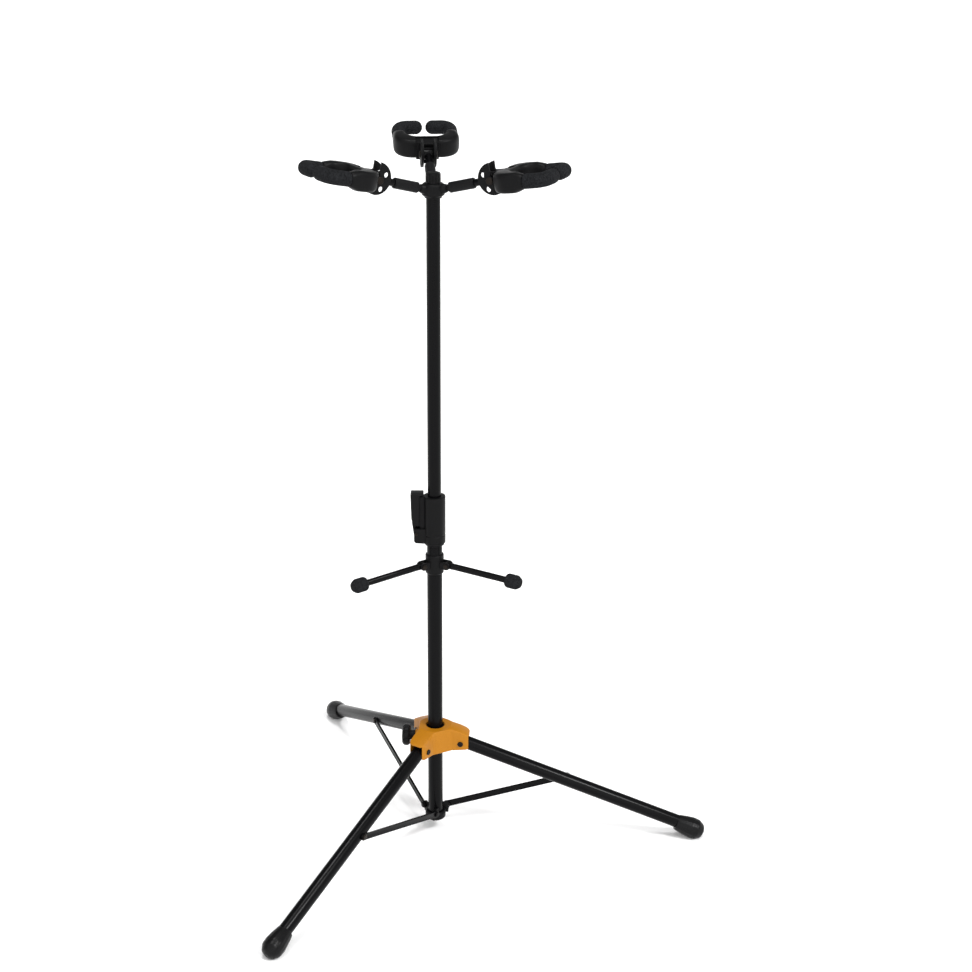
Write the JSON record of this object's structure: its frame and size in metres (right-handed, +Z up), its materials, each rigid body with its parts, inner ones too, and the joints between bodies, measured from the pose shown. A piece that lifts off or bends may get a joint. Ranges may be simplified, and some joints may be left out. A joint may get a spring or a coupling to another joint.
{
  "type": "guitar rack",
  "caption": "Floor rack that hangs guitars from self-closing neck yokes on a telescoping column with a folding tripod",
  "frame": {"origin": "centre of the flat underside of the brace hub, on the column's axis, 20 mm above the floor", "axes": "+Z up along the column, +X along the leg that points to the right, -Y towards the front"},
  "size_m": [0.6416, 0.7174, 1.0546],
  "materials": {
    "tube": "semi-gloss black powder coat",
    "plastic": "matt black moulded plastic",
    "grip": "black ribbed sleeve",
    "gold": "satin golden yellow",
    "steel": "blackened steel",
    "foam": "speckled black foam rubber",
    "rubber": "matt black rubber"
  },
  "bodies": {
    "column": {"lower_tube": "tube", "brace_hub": "plastic", "backrest_collar": "plastic", "backrest_pin_1": "steel", "backrest_pin_2": "steel", "backrest_pin_3": "steel", "clutch_body": "plastic", "clutch_lever_pin": "steel", "clutch_plate": "steel", "clutch_spring": "steel"},
    "clutch_lever": {"clutch_lever": "plastic"},
    "upper_column": {"upper_tube": "tube", "tube_glide": "plastic", "top_hub": "plastic", "top_cap": "plastic", "yoke_arm_1": "grip", "yoke_arm_2": "grip", "yoke_arm_3": "grip"},
    "tripod_housing": {"leg_housing": "gold", "housing_bush": "plastic", "leg_bolt_1": "steel", "leg_bolt_2": "steel", "leg_bolt_3": "steel"},
    "locking_knob": {"locking_knob": "plastic"},
    "leg_1": {"leg_tube_1": "tube", "leg_foot_1": "rubber"},
    "brace_1": {"brace_1": "tube", "brace_rivet_1": "steel"},
    "leg_2": {"leg_tube_2": "tube", "leg_foot_2": "rubber"},
    "brace_2": {"brace_2": "tube", "brace_rivet_2": "steel"},
    "leg_3": {"leg_tube_3": "tube", "leg_foot_3": "rubber"},
    "brace_3": {"brace_3": "tube", "brace_rivet_3": "steel"},
    "backrest_1": {"backrest_rod_1": "tube", "backrest_pad_1": "foam"},
    "yoke_neck_1": {"yoke_neck_1": "tube", "yoke_pin_1": "steel"},
    "yoke_body_1": {"yoke_body_1": "plastic"},
    "cradle_1": {"yoke_cradle_1": "plastic"},
    "gate_left_1": {"gate_finger_left_1": "foam"},
    "gate_right_1": {"gate_finger_right_1": "foam"},
    "backrest_2": {"backrest_rod_2": "tube", "backrest_pad_2": "foam"},
    "yoke_neck_2": {"yoke_neck_2": "tube", "yoke_pin_2": "steel"},
    "yoke_body_2": {"yoke_body_2": "plastic"},
    "cradle_2": {"yoke_cradle_2": "plastic"},
    "gate_left_2": {"gate_finger_left_2": "foam"},
    "gate_right_2": {"gate_finger_right_2": "foam"},
    "backrest_3": {"backrest_rod_3": "tube", "backrest_pad_3": "foam"},
    "yoke_neck_3": {"yoke_neck_3": "tube", "yoke_pin_3": "steel"},
    "yoke_body_3": {"yoke_body_3": "plastic"},
    "cradle_3": {"yoke_cradle_3": "plastic"},
    "gate_left_3": {"gate_finger_left_3": "foam"},
    "gate_right_3": {"gate_finger_right_3": "foam"}
  },
  "joints": [
    {"name": "height_slide", "type": "slide", "parent": "column", "child": "upper_column", "axis": [0, 0, 1], "range_m": [-0.105, 0.095]},
    {"name": "clutch_squeeze", "type": "hinge", "parent": "column", "child": "clutch_lever", "pos_m": [-0.026, 0, 0.474], "axis": [0, 1, 0], "range_deg": [0, 4], "stiffness_Nm_per_rad": 0.6, "springref_deg": -2.86},
    {"name": "tripod_fold", "type": "slide", "parent": "column", "child": "tripod_housing", "axis": [0, 0, 1], "range_m": [0, 0.2433]},
    {"name": "knob_turn", "type": "hinge", "parent": "tripod_housing", "child": "locking_knob", "pos_m": [-0.03995, 0.00209, 0.141], "axis": [-0.9986, 0.0523, 0], "range_deg": [0, 360]},
    {"name": "leg_1_fold", "type": "hinge", "parent": "tripod_housing", "child": "leg_1", "pos_m": [0.03845, -0.00201, 0.1345], "axis": [0.0523, 0.9986, 0], "range_deg": [0, 64.8]},
    {"name": "brace_1_fold", "type": "hinge", "parent": "column", "child": "brace_1", "pos_m": [0.0166, 0.01105, 0.0157], "axis": [-0.0523, -0.9986, 0], "range_deg": [0, 62.8]},
    {"name": "leg_2_fold", "type": "hinge", "parent": "tripod_housing", "child": "leg_2", "pos_m": [-0.01748, 0.0343, 0.1345], "axis": [-0.891, -0.454, 0], "range_deg": [0, 64.8]},
    {"name": "brace_2_fold", "type": "hinge", "parent": "column", "child": "brace_2", "pos_m": [-0.01787, 0.00885, 0.0157], "axis": [0.891, 0.454, 0], "range_deg": [0, 62.8]},
    {"name": "leg_3_fold", "type": "hinge", "parent": "tripod_housing", "child": "leg_3", "pos_m": [-0.02097, -0.03229, 0.1345], "axis": [0.8387, -0.5446, 0], "range_deg": [0, 64.8]},
    {"name": "brace_3_fold", "type": "hinge", "parent": "column", "child": "brace_3", "pos_m": [0.00127, -0.0199, 0.0157], "axis": [-0.8387, 0.5446, 0], "range_deg": [0, 62.8]},
    {"name": "backrest_1_fold", "type": "hinge", "parent": "column", "child": "backrest_1", "pos_m": [0.01932, -0.00942, 0.426], "axis": [-0.4384, -0.8988, 0], "range_deg": [0, 80]},
    {"name": "yoke_1_swivel", "type": "hinge", "parent": "upper_column", "child": "yoke_neck_1", "pos_m": [0.08042, -0.03922, 0.99787], "axis": [0.8679, -0.4233, 0.2601], "range_deg": [-30, 30]},
    {"name": "yoke_1_fold", "type": "hinge", "parent": "yoke_neck_1", "child": "yoke_body_1", "pos_m": [0.08042, -0.03922, 0.99787], "axis": [0.4384, 0.8988, 0], "range_deg": [0, 80]},
    {"name": "cradle_1_drop", "type": "slide", "parent": "yoke_body_1", "child": "cradle_1", "axis": [-0.1561, 0.0761, 0.9848], "range_m": [0, 0.008]},
    {"name": "gate_left_1_swing", "type": "hinge", "parent": "cradle_1", "child": "gate_left_1", "pos_m": [0.15422, -0.03405, 1.00886], "axis": [-0.8851, 0.4317, -0.1736], "range_deg": [0, 80]},
    {"name": "gate_right_1_swing", "type": "hinge", "parent": "cradle_1", "child": "gate_right_1", "pos_m": [0.12178, -0.10056, 1.00886], "axis": [0.8851, -0.4317, 0.1736], "range_deg": [0, 80]},
    {"name": "backrest_2_fold", "type": "hinge", "parent": "column", "child": "backrest_2", "pos_m": [-0.00214, 0.02139, 0.426], "axis": [0.9951, 0.0993, 0], "range_deg": [0, 80]},
    {"name": "yoke_2_swivel", "type": "hinge", "parent": "upper_column", "child": "yoke_neck_2", "pos_m": [-0.0089, 0.0892, 1.00463], "axis": [-0.0936, 0.9375, 0.3353], "range_deg": [-30, 30]},
    {"name": "yoke_2_fold", "type": "hinge", "parent": "yoke_neck_2", "child": "yoke_body_2", "pos_m": [-0.0089, 0.0892, 1.00463], "axis": [-0.9951, -0.0993, 0], "range_deg": [0, 80]},
    {"name": "cradle_2_drop", "type": "slide", "parent": "yoke_body_2", "child": "cradle_2", "axis": [0.0223, -0.2238, 0.9744], "range_m": [0, 0.008]},
    {"name": "gate_left_2_swing", "type": "hinge", "parent": "cradle_2", "child": "gate_left_2", "pos_m": [-0.05202, 0.14862, 1.01896], "axis": [0.0968, -0.9696, -0.225], "range_deg": [0, 80]},
    {"name": "gate_right_2_swing", "type": "hinge", "parent": "cradle_2", "child": "gate_right_2", "pos_m": [0.02162, 0.15596, 1.01896], "axis": [-0.0968, 0.9696, 0.225], "range_deg": [0, 80]},
    {"name": "backrest_3_fold", "type": "hinge", "parent": "column", "child": "backrest_3", "pos_m": [-0.01782, -0.01202, 0.426], "axis": [-0.5592, 0.829, 0], "range_deg": [0, 80]},
    {"name": "yoke_3_swivel", "type": "hinge", "parent": "upper_column", "child": "yoke_neck_3", "pos_m": [-0.07432, -0.05013, 0.99963], "axis": [-0.7959, -0.5368, 0.2799], "range_deg": [-30, 30]},
    {"name": "yoke_3_fold", "type": "hinge", "parent": "yoke_neck_3", "child": "yoke_body_3", "pos_m": [-0.07432, -0.05013, 0.99963], "axis": [0.5592, -0.829, 0], "range_deg": [0, 80]},
    {"name": "cradle_3_drop", "type": "slide", "parent": "yoke_body_3", "child": "cradle_3", "axis": [0.1865, 0.1258, 0.9744], "range_m": [0, 0.008]},
    {"name": "gate_left_3_swing", "type": "hinge", "parent": "cradle_3", "child": "gate_left_3", "pos_m": [-0.10619, -0.11626, 1.01396], "axis": [0.8078, 0.5449, -0.225], "range_deg": [0, 80]},
    {"name": "gate_right_3_swing", "type": "hinge", "parent": "cradle_3", "child": "gate_right_3", "pos_m": [-0.14757, -0.05491, 1.01396], "axis": [-0.8078, -0.5449, 0.225], "range_deg": [0, 80]}
  ],
  "couplings": [
    {"joint": "leg_1_fold", "follows": "tripod_fold", "rad_per_m": 4.6464},
    {"joint": "brace_1_fold", "follows": "tripod_fold", "rad_per_m": 4.5039},
    {"joint": "leg_2_fold", "follows": "tripod_fold", "rad_per_m": 4.6464},
    {"joint": "brace_2_fold", "follows": "tripod_fold", "rad_per_m": 4.5039},
    {"joint": "leg_3_fold", "follows": "tripod_fold", "rad_per_m": 4.6464},
    {"joint": "brace_3_fold", "follows": "tripod_fold", "rad_per_m": 4.5039},
    {"joint": "gate_left_1_swing", "follows": "cradle_1_drop", "rad_per_m": 174.5},
    {"joint": "gate_right_1_swing", "follows": "cradle_1_drop", "rad_per_m": 174.5},
    {"joint": "gate_left_2_swing", "follows": "cradle_2_drop", "rad_per_m": 174.5},
    {"joint": "gate_right_2_swing", "follows": "cradle_2_drop", "rad_per_m": 174.5},
    {"joint": "gate_left_3_swing", "follows": "cradle_3_drop", "rad_per_m": 174.5},
    {"joint": "gate_right_3_swing", "follows": "cradle_3_drop", "rad_per_m": 174.5}
  ]
}
